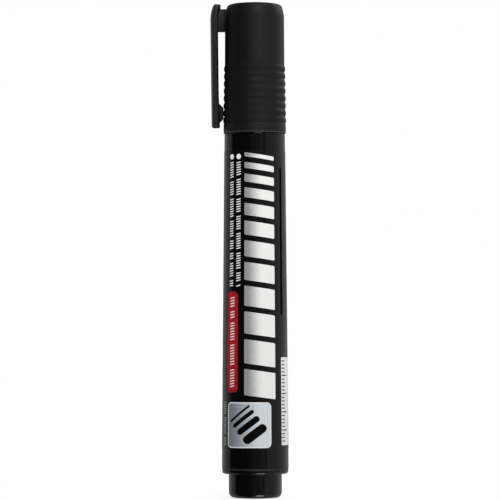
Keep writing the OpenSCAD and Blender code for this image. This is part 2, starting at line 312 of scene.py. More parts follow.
# %% A lathe
TURN_STEPS = 144
ROUND_STEPS = 5
MERGE = 0.0001


def rounded(bm, geom, rounding, affect, steps=ROUND_STEPS):
    """Rounds corners or edges of a mesh."""
    bmesh.ops.bevel(bm, geom=geom, offset=rounding, offset_type="OFFSET", affect=affect, segments=steps,
                    profile=0.5, material=-1)


def round_corners(bm, corners, verts):
    """Rounds those points of an outline whose corners name a rounding."""
    for corner, vert in zip(corners, verts):
        if len(corner) > 2:
            rounded(bm, [vert], corner[2] * MM, "VERTICES")


def turned(corners, steps=TURN_STEPS):
    """Spins a section about the axis. A corner is a radius, a height and, where it is round, its rounding."""
    bm = bmesh.new()
    verts = [bm.verts.new((c[0] * MM, 0, c[1] * MM)) for c in corners]
    for pair in zip(verts, verts[1:]):
        bm.edges.new(pair)
    if corners[0][0] > 0:
        bm.edges.new((verts[-1], verts[0]))
    round_corners(bm, corners, verts)
    bmesh.ops.spin(bm, geom=bm.verts[:] + bm.edges[:], axis=(0, 0, 1), angle=math.tau, steps=steps,
                   use_merge=True)
    bmesh.ops.remove_doubles(bm, verts=bm.verts, dist=MERGE * MM)
    bmesh.ops.recalc_face_normals(bm, faces=bm.faces)
    return bm


def block(bm, low, high, turn=0.0):
    """Adds a box between two corners, turned about the axis."""
    low, high = Vector(low) * MM, Vector(high) * MM
    size = Matrix.Diagonal((*(high - low), 1))
    box = bmesh.ops.create_cube(bm, size=1, matrix=Matrix.Translation((low + high) / 2) @ size)["verts"]
    bmesh.ops.rotate(bm, verts=box, matrix=Matrix.Rotation(turn, 3, "Z"))


print("lathe ready,", TURN_STEPS, "steps a turn")

# %% [markdown]
# A finished mesh becomes a piece: smooth all over except at real edges, linked to the scene, riding on its
# body of the frame and standing for the plain part there. One function does this for every piece, so that no
# step is left out.

# %% From mesh to piece
SHARP_DEGREES = 32


def piece(bm, name, finishes, body=None, stands_for=None):
    """Makes an object of a bmesh, with its finishes in its material slots, its body and the part that it
    stands for.
    """
    for face in bm.faces:
        face.smooth = True
    for edge in bm.edges:
        edge.smooth = edge.calc_face_angle(0) < math.radians(SHARP_DEGREES)
    loose = sum(1 for edge in bm.edges if len(edge.link_faces) != 2)
    made = as_object(bm, name, [finish.material for finish in finishes])
    if body:
        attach(made, body)
    if stands_for:
        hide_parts(stands_for)
    print(f"{name}: {len(made.data.polygons)} faces, {loose} open edges")
    return made


print("edges stay sharp from", SHARP_DEGREES, "degrees")

# %% [markdown]
# ## Surface effects that several finishes share
# Moulded plastic is never quite even. A mould that was etched leaves a fine grain, and large soft patches
# where the plastic cooled at its own pace. Handling leaves hairlines. Each effect is one node group that
# puts out masks and heights, and each finish mixes them in by its own amounts. Pictures of real plastic could
# do the same, but they blur up close, and noise doesn't.

# %% Effects as node groups
# Between which values of the noise each mask rises from 0 to 1
PATCH_RISE, HAIRLINE_RISE, SPECKLE_RISE = (0.3, 0.7), (0.66, 0.74), (0.35, 0.65)
# Squeeze and turn of the two sets of hairlines
HAIRLINE_SETS = [((1, 1, 0.03), (0.35, 0.2, 0)), ((0.04, 0.04, 1), (-0.3, 0.1, 0.4))]
FIBRE_SQUEEZE, FIBRE_TONES = (1, 1, 0.06), 2500


def effect(name, inputs, outputs):
    """An empty effect with a place input, named numbers and named outputs."""
    tree = bpy.data.node_groups.new(name, "ShaderNodeTree")
    tree.interface.new_socket("Place", in_out="INPUT", socket_type="NodeSocketVector")
    for label, value in inputs:
        socket = tree.interface.new_socket(label, in_out="INPUT", socket_type="NodeSocketFloat")
        socket.default_value = value
    for label in outputs:
        tree.interface.new_socket(label, in_out="OUTPUT", socket_type="NodeSocketFloat")
    return tree, tree.nodes.new("NodeGroupInput").outputs, tree.nodes.new("NodeGroupOutput").inputs


def noise(tree, place, scale, detail):
    """Noise over a place, with its scale in marks per metre, from another node or as a number."""
    return placed(tree, "ShaderNodeTexNoise", Vector=place, Scale=scale, Detail=detail).outputs["Fac"]


def squeezed(tree, place, scale, turn=(0, 0, 0)):
    """A place squeezed along its own axes, so that a pattern on it becomes streaks."""
    return placed(tree, "ShaderNodeMapping", Vector=place, Scale=scale, Rotation=turn).outputs["Vector"]


moulded, given, result = effect("moulded_grain", [("Grain", 7000), ("Patch", 220)], ["Height", "Patch"])
moulded.links.new(noise(moulded, given["Place"], given["Grain"], detail=4), result["Height"])
soft = noise(moulded, given["Place"], given["Patch"], detail=3)
moulded.links.new(ranged(moulded, soft, *PATCH_RISE), result["Patch"])

handled, given, result = effect("hairlines", [("Count", 900)], ["Marks"])
sets = []
for squeeze, turn in HAIRLINE_SETS:
    streaks = noise(handled, squeezed(handled, given["Place"], squeeze, turn), given["Count"], detail=1)
    sets.append(ranged(handled, streaks, *HAIRLINE_RISE))
handled.links.new(reckoned(handled, "MAXIMUM", *sets), result["Marks"])

speckled, given, result = effect("ink_speckle", [("Count", 4500)], ["Speckle"])
dots = noise(speckled, given["Place"], given["Count"], detail=1)
speckled.links.new(ranged(speckled, dots, *SPECKLE_RISE), result["Speckle"])

fibred, given, result = effect("fibre", [("Count", 9000)], ["Height", "Tone"])
strands = squeezed(fibred, given["Place"], FIBRE_SQUEEZE)
fibred.links.new(noise(fibred, strands, given["Count"], detail=3), result["Height"])
fibred.links.new(noise(fibred, strands, FIBRE_TONES, detail=2), result["Tone"])
print("effects:", [tree.name for tree in bpy.data.node_groups])

# %% [markdown]
# Every finish starts from the Principled shader. A small class keeps the shader, its nodes and the place on
# the object together, so that a finish takes only a few lines below.


# %% A finish to start from
class Finish:
    """A material with its shader at hand, and short ways to place effects and mixes in it."""

    def __init__(self, name, roughness):
        self.material = bpy.data.materials.new(name)
        self.material.use_nodes = True
        self.tree = self.material.node_tree
        self.shader = self.tree.nodes["Principled BSDF"]
        self.shader.inputs["Roughness"].default_value = roughness
        self.place = self.tree.nodes.new("ShaderNodeTexCoord").outputs["Object"]

    def feed(self, label, value):
        """Feeds an input of the shader from another node."""
        self.tree.links.new(value, self.shader.inputs[label])

    def effect(self, group, **numbers):
        """Places an effect and returns its outputs."""
        return placed(self.tree, "ShaderNodeGroup", group=group, Place=self.place, **numbers).outputs

    def colours(self, mask, low, high):
        """Base colour between two greys or colours, by a mask."""
        made = self.tree.nodes.new("ShaderNodeMix")
        made.data_type = "RGBA"
        made.inputs["A"].default_value = (*low, 1)
        made.inputs["B"].default_value = (*high, 1)
        self.tree.links.new(mask, made.inputs["Factor"])
        self.feed("Base Color", made.outputs["Result"])

    def roughness(self, mask, low, high):
        """Roughness between two values, by a mask."""
        self.feed("Roughness", ranged(self.tree, mask, 0, 1, low, high))

    def bump(self, height, depth, strength=0.4):
        """Bump of a depth in millimetres."""
        made = placed(self.tree, "ShaderNodeBump", Height=height, Distance=depth * MM, Strength=strength)
        self.feed("Normal", made.outputs["Normal"])


def moulded_finish(name, colours, roughness, depth=0.0, **grain):
    """A finish that varies from patch to patch in colour and roughness, with a grain of a depth."""
    made = Finish(name, sum(roughness) / 2)
    uneven = made.effect(moulded, **grain)
    made.colours(uneven["Patch"], *colours)
    made.roughness(uneven["Patch"], *roughness)
    if depth:
        made.bump(uneven["Height"], depth)
    return made


def grey(value, warm=0.0):
    """A grey, a little warm where warm is above zero and cool where it is below."""
    return (value * (1 + warm), value, value * (1 - warm))


print("finishes can start")

# %% [markdown]
# ## The barrel
# The barrel is a polished injection-moulded tube, slightly wider at the rear. Above its shoulder a collar
# with a small snap bead carries the cap, and six ribs inside centre the reservoir. The tube comes off the
# lathe, and each rib is a block that reaches into its wall. A Boolean could weld them, but the joint never
# shows. The polish is the whole look here: a nearly black colour, low roughness and only a trace of
# hairlines. The thin edges where barrel and tail plug meet get a paler colour, partly scuffing from handling
# and partly a painted highlight, and show as a fine pale line.

# %% Polished black plastic
polish = Finish("polished_black", roughness=0.08)
marks = polish.effect(handled)["Marks"]
patch = polish.effect(moulded, Patch=90)["Patch"]
polish.colours(patch, grey(0.0006), grey(0.001))
polish.roughness(marks, 0.075, 0.16)

# Paler colour for thin rounded edges: partly scuffing, partly a painted highlight along the edge.
scuff_and_highlight = Finish("edge_scuff_and_highlight", roughness=0.45)
scuff_and_highlight.colours(scuff_and_highlight.effect(handled)["Marks"], grey(0.028), grey(0.05))
print("finishes:", polish.material.name, scuff_and_highlight.material.name)

# %% Barrel tube with collar, snap bead and ribs
# Roundings that several pieces share
FINE, CRISP, EDGE, SOFT = 0.05, 0.1, 0.2, 0.3
WALL = 1.5
LEAD_IN = 0.4
SEAT_GAP = 0.1
COLLAR_WALL = 1.25
WIDE_JAWS = 0.3
BEAD_HALF = 0.6
NECK_DROP, NECK_CONE = 1.5, 1
PLUG_DEPTH, SOCKET_STEP = 7, 0.08
RIB_COUNT, RIB_THICK, RIB_GAP = 6, 0.9, 0.08
FLUSH = 0.01

rear_z, rear_r = barrel_low.z, barrel_high.x
flange_r = tail_high.x
shoulder_z = cap_low.z - SEAT_GAP
front_r = caliper("barrel", shoulder_z, WIDE_JAWS)
collar_top = barrel_high.z
collar_r = caliper("barrel", collar_top - LEAD_IN)
bead_z = (shoulder_z + collar_top) / 2
bead_r = caliper("barrel", bead_z)
holder_bore_r = collar_r - COLLAR_WALL
neck_z = shoulder_z - NECK_DROP
socket_r = rear_r - WALL
cavity_rear_r = socket_r - SOCKET_STEP
cavity_front_r = front_r - WALL
plug_top = rear_z + PLUG_DEPTH
core_low, core_high = span("ink_core")
sleeve_r = span("core_film")[1].x


def give_edge_scuff_and_highlight(bm, radius, z, edge):
    """Gives the rounded outer edge at a radius and height the second finish of its piece, a scuff with a
    painted highlight.
    """
    for face in bm.faces:
        middle = face.calc_center_median() / MM
        if FLUSH < abs(middle.z - z) < edge and middle.xy.length > radius - edge:
            face.material_index = 1


def swell(radius, height, z, half, steps=10):
    """Corners of a low round band about the axis, which stands a little above a radius."""
    shares = [2 * i / steps - 1 for i in range(steps + 1)]
    return [(radius + height * (1 - t * t), z + t * half) for t in shares]


bm = turned([
    (socket_r, rear_z), (rear_r, rear_z, EDGE), (front_r, shoulder_z, EDGE), (collar_r, shoulder_z, CRISP),
    *swell(collar_r, bead_r - collar_r, bead_z, BEAD_HALF),
    (collar_r, collar_top, LEAD_IN), (holder_bore_r, collar_top, CRISP), (holder_bore_r, neck_z),
    (cavity_front_r, neck_z - NECK_CONE), (cavity_rear_r, plug_top), (socket_r, plug_top)])
for i in range(RIB_COUNT):
    block(bm, (sleeve_r + RIB_GAP, -RIB_THICK / 2, core_low.z),
          ((front_r + cavity_rear_r) / 2, RIB_THICK / 2, neck_z - NECK_CONE),
          (i + 0.5) * math.tau / RIB_COUNT)
give_edge_scuff_and_highlight(bm, flange_r, rear_z, EDGE)
piece(bm, "barrel_tube", [polish, scuff_and_highlight], "barrel", "barrel")

# %% [markdown]
# ## The tail plug
# The plug closes the barrel. Its thin flange shows as a line round the rear edge, and its narrower tail is
# the post that the cap goes on in use. Both are polished like the barrel. A small dimple in the middle of
# the end is where the plastic entered the mould. The plug is turned too, and the two crossed fins inside,
# which stiffen it and hold the reservoir forward, are blocks like the ribs.

# %% Tail plug with flange, tail and crossed fins
FLANGE = 1.35
FLANGE_EDGE, TAIL_EDGE, TAIL_NECK = 0.65, 1.5, 0.12
TAIL_BAND = 0.4
PRESS_GAP = 0.02
PLUG_WALL, PLUG_FLOOR = 1.55, 1.5
DIMPLE, DIMPLE_R, DIMPLE_SLOPE = 0.25, 1.1, 0.1
FIN, FIN_ROOT = 1.0, 0.1

flange_z = rear_z - FLANGE
tail_r = caliper("tail_plug", flange_z / 2, TAIL_BAND * flange_z)
spigot_r = socket_r - PRESS_GAP
hollow_r = spigot_r - PLUG_WALL
fin_half = hollow_r - PRESS_GAP
bm = turned([
    (0, DIMPLE), (DIMPLE_R, DIMPLE, CRISP), (DIMPLE_R + DIMPLE_SLOPE, 0, FINE), (tail_r, 0, TAIL_EDGE),
    (tail_r, flange_z, TAIL_NECK), (flange_r, flange_z, FLANGE_EDGE), (flange_r, rear_z, EDGE),
    (spigot_r, rear_z), (spigot_r, plug_top, LEAD_IN), (hollow_r, plug_top), (hollow_r, PLUG_FLOOR, SOFT),
    (0, PLUG_FLOOR)])
for turn in (0, math.pi / 2):
    block(bm, (-fin_half, -FIN / 2, PLUG_FLOOR - FIN_ROOT), (fin_half, FIN / 2, tail_high.z), turn)
give_edge_scuff_and_highlight(bm, flange_r, rear_z, EDGE)
piece(bm, "tail_plug_piece", [polish, scuff_and_highlight], "barrel", "tail_plug")

# %% [markdown]
# ## The printed film
# A thin film is wrapped round the barrel and meets itself at the back. It is satin where the bare ends of the
# barrel are glossy, and that change of gloss is all that shows its edges. A closed tube would be simpler, but
# the real film is a sheet with two ends. So a short section is spun not quite all the way round, which leaves
# the seam open.

# %% Satin black film
FILM_SECTION = 0.04
INK_ROOM = 0.03
SEAM_GAP = 0.4

satin = moulded_finish("satin_black_film", colours=(grey(0.001), grey(0.0016)), roughness=(0.17, 0.23),
                       depth=0.004, Grain=2500, Patch=350)


def barrel_radius(z):
    """Radius of the tapered barrel at a height."""
    share = (z - rear_z - EDGE) / (shoulder_z - rear_z - 2 * EDGE)
    return rear_r + (front_r - rear_r) * share


film_low, film_high = span("printed_wrap")
film_lift = film_high.x - barrel_radius(film_low.z) - INK_ROOM
seam_turn = SEAM_GAP / rear_r
bm = bmesh.new()
rim = []
for z, lift in ((film_low.z, film_lift - FILM_SECTION), (film_low.z, film_lift),
                (film_high.z, film_lift), (film_high.z, film_lift - FILM_SECTION)):
    rim.append(bm.verts.new((0, (barrel_radius(z) + lift) * MM, z * MM)))
bm.faces.new(rim)
bmesh.ops.rotate(bm, verts=rim, matrix=Matrix.Rotation(seam_turn / 2, 3, "Z"))
bmesh.ops.spin(bm, geom=bm.verts[:] + bm.edges[:] + bm.faces[:], axis=(0, 0, 1),
               angle=math.tau - seam_turn, steps=TURN_STEPS)
bmesh.ops.recalc_face_normals(bm, faces=bm.faces)
piece(bm, "wrap_film_sheet", [satin], "barrel", "printed_wrap")

# %% [markdown]
# ## The print
# The print is a plain design of its own: slanted silver bars that grow like a range of line widths, rows of
# small strokes, a red tab, a pale panel with four sample strokes, a white ruler, and faint strokes beside a
# dull rule. Each motif is drawn flat, as on a printer's sheet, cut into strips so that it can bend, given the
# thickness of ink and then wrapped round the cone. A picture on the film would blur up close, while ink of
# its own stays sharp.

# %% A flat sheet and its wrap
INK = 0.012
STRIP = 0.45
INK_STEPS = 6
sheet_r = barrel_radius((film_low.z + film_high.z) / 2)


def across(degrees):
    """Distance round the barrel, in millimetres, from the middle of the front."""
    return math.radians(degrees) * sheet_r


def bar(bm, u, v, width, height, lean=0.0, rounding=0.0, turn=0.0):
    """Adds a flat bar to the sheet. It leans so that its right end rises by lean times its width."""
    shape = Matrix(((width, 0, 0, 0), (lean * width, height, 0, 0), (0, 0, 1, 0), (0, 0, 0, 1)))
    shape = Matrix.Translation((u, v, 0)) @ Matrix.Rotation(turn, 4, "Z") @ shape
    corners = bmesh.ops.create_grid(bm, x_segments=1, y_segments=1, size=0.5, matrix=shape)["verts"]
    if rounding:
        rounded(bm, corners, rounding, "VERTICES", INK_STEPS)


def drawn_out(bm, way):
    """Draws flat faces out into plates."""
    raised = bmesh.ops.extrude_face_region(bm, geom=bm.faces[:])["geom"]
    raised = [item for item in raised if isinstance(item, bmesh.types.BMVert)]
    bmesh.ops.translate(bm, verts=raised, vec=way)
    bmesh.ops.recalc_face_normals(bm, faces=bm.faces)


def printed(bm, name, inks, layer=0, rim=0.0):
    """Gives a flat sheet of shapes its rim, thickness and wrap, and makes it a piece."""
    if rim:
        edged = bmesh.ops.inset_individual(bm, faces=bm.faces[:], thickness=rim, use_even_offset=True)
        for face in edged["faces"]:
            face.material_index = 1
    first = min(v.co.x for v in bm.verts)
    last = max(v.co.x for v in bm.verts)
    for i in range(1, math.ceil((last - first) / STRIP)):
        everything = bm.verts[:] + bm.edges[:] + bm.faces[:]
        bmesh.ops.bisect_plane(bm, geom=everything, plane_co=(first + i * STRIP, 0, 0), plane_no=(1, 0, 0))
    drawn_out(bm, (0, 0, INK))
    for v in bm.verts:
        turn = v.co.x / sheet_r
        radius = barrel_radius(v.co.y) + film_lift + layer * INK + v.co.z
        v.co = Vector((radius * math.sin(turn), -radius * math.cos(turn), v.co.y)) * MM
    piece(bm, name, inks, "barrel")


def field(name, inks, degrees, wide, top, bottom, rounding, rim=0.0):
    """Prints one plain field, by its middle and width in degrees and by its two ends."""
    bm = bmesh.new()
    bar(bm, across(degrees), (top + bottom) / 2, across(wide), top - bottom, rounding=rounding)
    printed(bm, name, inks, rim=rim)


print(f"sheet: {math.tau * sheet_r:.1f} mm round, {film_high.z - film_low.z:.1f} mm long")

# %% [markdown]
# Printed ink never lies quite evenly, so each ink varies by a fine speckle. The silver and the pale blue run
# from dark to light across the barrel, darker towards -x and lighter towards +x: a painted sheen that stands
# in for the way light catches these inks. A metallic shader could make the silver too, but it would mirror
# the dark of the tent.

# %% Inks
INK_ROUGH, INK_VARIES = 0.45, 0.05
FLAKE_SHARE = 0.3
PAINTED_SHEEN_LOW, PAINTED_SHEEN_HIGH = -0.3, 1.15


def ink(name, colour, spread=0.12, gloss=0.5):
    """A plain ink with a slightly uneven lay."""
    made = Finish(name, INK_ROUGH)
    made.shader.inputs["Specular IOR Level"].default_value = gloss
    lay = made.effect(speckled, Count=2600)["Speckle"]
    made.colours(lay, [c * (1 - spread) for c in colour], colour)
    made.roughness(lay, INK_ROUGH - INK_VARIES, INK_ROUGH + INK_VARIES)
    return made


def ink_with_painted_sheen(name, dark, light, start, end, count):
    """An ink that runs from a dark speckle at one place across the barrel to a light tone at another, a
    painted sheen.
    """
    made = Finish(name, roughness=0.42)
    flakes = made.effect(speckled, Count=count)["Speckle"]
    # Painted sheen: the colour grows lighter along x, as if light fell more on one side of the barrel.
    sideways = placed(made.tree, "ShaderNodeSeparateXYZ", made.place).outputs["X"]
    run = ranged(made.tree, sideways, start * MM, end * MM, PAINTED_SHEEN_LOW, PAINTED_SHEEN_HIGH)
    speckle_and_painted_sheen = placed(made.tree, "ShaderNodeMath", flakes, FLAKE_SHARE, run, operation="MULTIPLY_ADD")
    speckle_and_painted_sheen.use_clamp = True
    made.colours(speckle_and_painted_sheen.outputs[0], dark, light)
    made.roughness(flakes, 0.48, 0.38)
    return made


white_ink = ink("white_ink", (0.84, 0.85, 0.85))
red_ink = ink("red_ink", (0.42, 0.0015, 0.009), spread=0.3, gloss=0.15)
grey_ink = ink("grey_ink", grey(0.34))
faint_ink = ink("faint_grey_ink", grey(0.035), gloss=0.2)
black_ink = ink("black_ink", grey(0.002), gloss=0.12)
dull_ink = ink("dull_black_ink", grey(0.002), gloss=0)
silver = ink_with_painted_sheen("silver_ink_painted_sheen", grey(0.27, 0.01), grey(0.8, 0.01), start=-2.4, end=2.6, count=5200)
pale = ink_with_painted_sheen("pale_blue_ink_painted_sheen", (0.17, 0.2, 0.235), (0.62, 0.67, 0.7), start=-7, end=2.5, count=3800)
print("inks mixed")

# %% Silver bars in growing widths
BARS_PLACE, BARS_WIDE = 9, 57
BARS_TOP, BARS_BOTTOM = 94.6, 27.9
BAR_COUNT, THIN_BAR, BAR_GAP, BAR_LEAN = 12, 1.1, 1.55, -0.14

step = 2 * ((BARS_TOP - BARS_BOTTOM - (BAR_COUNT - 1) * BAR_GAP) / BAR_COUNT - THIN_BAR) / (BAR_COUNT - 1)
bm = bmesh.new()
v = BARS_TOP
for i in range(BAR_COUNT):
    thick = THIN_BAR + i * step
    bar(bm, across(BARS_PLACE), v - thick / 2, across(BARS_WIDE), thick, BAR_LEAN, SOFT)
    v -= thick + BAR_GAP
printed(bm, "print_silver_bars", [silver])

# %% Rows of small strokes, a red tab and its strokes
ROW_PLACES = (-31.5, -47.5)
ROW_TOP, ROW_BOTTOM = 92.6, 58.3
DOT_RISE, DOT_R, DOT_STEPS = 1.5, 0.75, 24
GROUP_LEAST, GROUP_MOST, GROUP_GAP = 3, 8, 2.2
STROKE_LEAN = 0.18
TAB_PLACE, TAB_WIDE, TAB_EDGE = -44.5, 25, 1.3
TAB_TOP, TAB_BOTTOM = 56.9, 29.2
TAB_HEAD, TAB_FOOT = 1.6, 1.2
DRAW_SEED = 11

draw = random.Random(DRAW_SEED)


def row(bm, degrees, top, bottom, tall, pitch, stroke):
    """Adds a row of short strokes in groups, running down the barrel."""
    v = top
    left = draw.randint(GROUP_LEAST, GROUP_MOST)
    while v - stroke > bottom:
        bar(bm, across(degrees), v - stroke / 2, tall, stroke, STROKE_LEAN)
        left -= 1
        v -= pitch if left else GROUP_GAP * pitch
        left = left or draw.randint(GROUP_LEAST, GROUP_MOST)


bm = bmesh.new()
for degrees in ROW_PLACES:
    bmesh.ops.create_circle(bm, cap_ends=True, segments=DOT_STEPS, radius=DOT_R,
                            matrix=Matrix.Translation((across(degrees), ROW_TOP + DOT_RISE, 0)))
    row(bm, degrees, ROW_TOP, ROW_BOTTOM, tall=1.35, pitch=0.66, stroke=0.29)
printed(bm, "print_white_rows", [white_ink])

field("print_red_tab", [red_ink], TAB_PLACE, TAB_WIDE, TAB_TOP, TAB_BOTTOM, TAB_EDGE)
bm = bmesh.new()
row(bm, TAB_PLACE, TAB_TOP - TAB_HEAD, TAB_BOTTOM + TAB_FOOT, tall=1.5, pitch=0.74, stroke=0.3)
printed(bm, "print_tab_strokes", [white_ink], layer=1)

# %% Pale panel with four sample strokes
PANEL_PLACE, PANEL_WIDE, PANEL_EDGE, PANEL_RIM = -13, 83, 1.3, 0.28
PANEL_TOP, PANEL_BOTTOM = 26.5, 14.0
STROKES = (0.6, 1.1, 1.7, 2.4)
STROKE_GAP, STROKE_LENGTH, STROKE_END = 0.9, 7.4, 0.49
STROKE_SLANT = math.radians(38)

field("print_pale_panel", [pale, white_ink], PANEL_PLACE, PANEL_WIDE, PANEL_TOP, PANEL_BOTTOM, PANEL_EDGE,
      PANEL_RIM)
bm = bmesh.new()
offset = -(sum(STROKES) + STROKE_GAP * (len(STROKES) - 1)) / 2
for thick in STROKES:
    middle = offset + thick / 2
    u = across(PANEL_PLACE) + middle * math.sin(STROKE_SLANT)
    v = (PANEL_TOP + PANEL_BOTTOM) / 2 - middle * math.cos(STROKE_SLANT)
    bar(bm, u, v, STROKE_LENGTH, thick, rounding=STROKE_END * thick, turn=STROKE_SLANT)
    offset += thick + STROKE_GAP
printed(bm, "print_sample_strokes", [black_ink], layer=1)

# %% White ruler
RULER_PLACE, RULER_WIDE = 90, 76
RULER_TOP, RULER_BOTTOM = 38.8, 14.6
TICK, TICK_SHORT, TICK_LONG, TICK_GROUP = 0.3, 1.4, 2.4, 5
TICK_PLACE = 36.5

field("print_ruler", [white_ink], RULER_PLACE, RULER_WIDE, RULER_TOP, RULER_BOTTOM, SOFT)
bm = bmesh.new()
for i in range(1, math.floor(RULER_TOP - RULER_BOTTOM)):
    tall = TICK_SHORT if i % TICK_GROUP else TICK_LONG
    for inwards in (1, -1):
        u = across(RULER_PLACE - inwards * TICK_PLACE) + inwards * tall / 2
        bar(bm, u, RULER_TOP - i, tall, TICK)
printed(bm, "print_ruler_ticks", [black_ink], layer=1)

# %% Faint strokes beside a dull rule, and grey strokes
FAINT_PLACES = (61, 72, 83, 94)
FAINT_TOP, FAINT_BOTTOM = 91.2, 45.4
RULE_PLACE, RULE_WIDE, RULE_EDGE = 55, 6, 0.4
RULE_BOTTOM = 50.5
GREY_PLACE = -64.5
GREY_TOP, GREY_BOTTOM = 26.6, 14.2

bm = bmesh.new()
for degrees in FAINT_PLACES:
    row(bm, degrees, FAINT_TOP, FAINT_BOTTOM, tall=0.95, pitch=0.5, stroke=0.24)
printed(bm, "print_faint_rows", [faint_ink])
field("print_dull_rule", [dull_ink], RULE_PLACE, RULE_WIDE, FAINT_TOP, RULE_BOTTOM, RULE_EDGE)
bm = bmesh.new()
row(bm, GREY_PLACE, GREY_TOP, GREY_BOTTOM, tall=1.2, pitch=0.6, stroke=0.3)
printed(bm, "print_grey_row", [grey_ink])

# %% [markdown]
# ## The cap
# The cap is moulded in black plastic with an etched, matte surface. Eight low rings above the lip give the
# fingers a hold, the wall above them is smooth, and the crown is a short cone with a rounded edge. The rings
# are drawn into the section before it is spun, so that they catch the light as real ones do. Bump in the
# finish could only fake them, and the outline would stay straight. A mask tells how rubbed the grain is, and
# it also paints light and shade into the colour: below zero among the rings, where the mould was etched more
# coarsely, zero on the plain wall, and above zero on lip, bridge and clip, which rub on hands and pockets and
# are painted lighter as a sheen. Where it stays at zero or below, under the bridge and beside the cap, the
# colour is darkest as painted shade. The edge of the mouth gets the barrel's paler edge colour, partly scuff
# and partly a painted highlight.

# %% Matte moulded black
ETCHED_ROUGH = (0.56, 0.63)
# Two values of the mask, and how much roughness each rubs off
RUB_VALUES, RUBBED_OFF = (-1, 2), (-0.2, 0.4)

etched = Finish("etched_black", roughness=0.6)
grain = etched.effect(moulded, Grain=6500, Patch=260)
rub_and_sheen_node = placed(etched.tree, "ShaderNodeAttribute")
rub_and_sheen_node.attribute_name = "rub_and_sheen"
# The mask also paints the base colour: lighter above zero, a painted sheen on lip, bridge and clip, and
# darkest at zero or below, painted shade under the bridge and beside the cap.
etched.colours(rub_and_sheen_node.outputs["Fac"], grey(0.0013), grey(0.012))
uneven = ranged(etched.tree, grain["Patch"], 0, 1, *ETCHED_ROUGH)
smoother = ranged(etched.tree, rub_and_sheen_node.outputs["Fac"], *RUB_VALUES, *RUBBED_OFF)
etched.feed("Roughness", reckoned(etched.tree, "SUBTRACT", uneven, smoother))
etched.bump(grain["Height"], depth=0.012, strength=0.5)

# Painted shade: a darker black without specular reflection, for the faces of the clip that look at the cap,
# where shade falls in the gap.
painted_shade_finish = Finish("painted_shade_black", roughness=0.85)
painted_shade_finish.shader.inputs["Specular IOR Level"].default_value = 0
painted_shade_finish.colours(painted_shade_finish.effect(moulded, Patch=260)["Patch"], grey(0.001), grey(0.0018))
print("finishes:", etched.material.name, painted_shade_finish.material.name)

# %% Cap shell with lip, rings and crown
RING_COUNT, RING_PITCH, RING_HEIGHT, RING_GROOVE = 8, 2.06, 0.24, 0.3
RINGS_RISE = 3.7
LIP_EDGE = 0.35
CONE_DROP, CONE_IN, CONE_EDGE = 3.1, 0.63, 0.5
CROWN_DROP, CROWN_IN, CROWN_EDGE = 0.25, 1.1, 0.75
DOME, DOME_STEPS = 0.15, 4
CEILING_DROP, CEILING_EDGE = 1.8, 0.6
MOUTH_CHAMFER = 0.3
RUN_GAP = 0.05
LINER_SEAT, LINER_STEP, LINER_CONE = 1.6, 0.25, 0.6
SNAP_GROOVE = 0.15
RING_RUB, LIP_RUB_AND_SHEEN = -0.4, 0.2

mouth_z, crown_z = cap_low.z, cap_high.z
rings_z = mouth_z + RINGS_RISE
last_ring_z = rings_z + (RING_COUNT - 1) * RING_PITCH
rings_low, rings_high = rings_z - RING_PITCH / 2, last_ring_z + RING_PITCH / 2
lip_r = caliper("cap", mouth_z + LIP_EDGE)
groove_low_r = caliper("cap", rings_z) - RING_HEIGHT
groove_top_r = caliper("cap", last_ring_z) - RING_HEIGHT
shell_low_r = caliper("cap", rings_high)
shell_top_r = caliper("cap", crown_z - CONE_DROP)
liner_low, liner_high = span("inner_cap")
liner_r = liner_high.x + RUN_GAP
mouth_r = liner_r + LINER_STEP
liner_seat_z = liner_low.z + LINER_SEAT
ceiling_z = crown_z - CEILING_DROP

rings = []
for i in range(RING_COUNT):
    z = rings_z + i * RING_PITCH
    radius = groove_low_r + (groove_top_r - groove_low_r) * i / (RING_COUNT - 1)
    rings += swell(radius, RING_HEIGHT, z, (RING_PITCH - RING_GROOVE) / 2)
dome_r = shell_top_r - CONE_IN - CROWN_IN
shares = [1 - i / DOME_STEPS for i in range(DOME_STEPS + 1)]
dome = [(dome_r * t, crown_z - DOME * t ** 2) for t in shares]
bm = turned([
    (mouth_r + MOUTH_CHAMFER, mouth_z, CRISP), (lip_r, mouth_z, LIP_EDGE), (lip_r, rings_low, CRISP), *rings,
    (shell_low_r, rings_high, CRISP), (shell_top_r, crown_z - CONE_DROP, CONE_EDGE),
    (shell_top_r - CONE_IN, crown_z - CROWN_DROP, CROWN_EDGE), *dome,
    (0, ceiling_z), (liner_r, ceiling_z, CEILING_EDGE), (liner_r, liner_seat_z),
    (mouth_r, liner_seat_z - LINER_CONE),
    *reversed(swell(mouth_r, SNAP_GROOVE, bead_z, BEAD_HALF)), (mouth_r, mouth_z + MOUTH_CHAMFER)])
rub_and_sheen = bm.verts.layers.float.new("rub_and_sheen")
for v in bm.verts:
    height = v.co.z / MM
    if height < rings_low:
        v[rub_and_sheen] = LIP_RUB_AND_SHEEN
    elif height < rings_high:
        v[rub_and_sheen] = RING_RUB
# The mouth's rounded edge gets the scuff and painted highlight too.
give_edge_scuff_and_highlight(bm, lip_r, mouth_z, LIP_EDGE)
print(f"cap {2 * lip_r:.1f} mm across its lip, {crown_z - mouth_z:.1f} mm long")

# %% [markdown]
# A short bridge carries the clip. It is a block with rounded edges, cut across so that it can flare where it
# meets the wall and the clip. It goes into the mesh of the cap, because the two are one moulding.

# %% Bridge between cap and clip
BRIDGE_WIDTH = 3.4
BRIDGE_TOP_DROP, BRIDGE_BOTTOM_DROP = 1.48, 7.6
BRIDGE_EDGE, EDGE_STEPS = 0.3, 4
BRIDGE_ROOT = 0.75
BRIDGE_CUTS, CUTS_END = 12, 0.3
FLARE, FLARE_ROOT, FLARE_SIDEWAYS = 0.55, 0.1, 0.5
CLIP_THICK = 2.1
BRIDGE_RUB_AND_SHEEN = 0.7


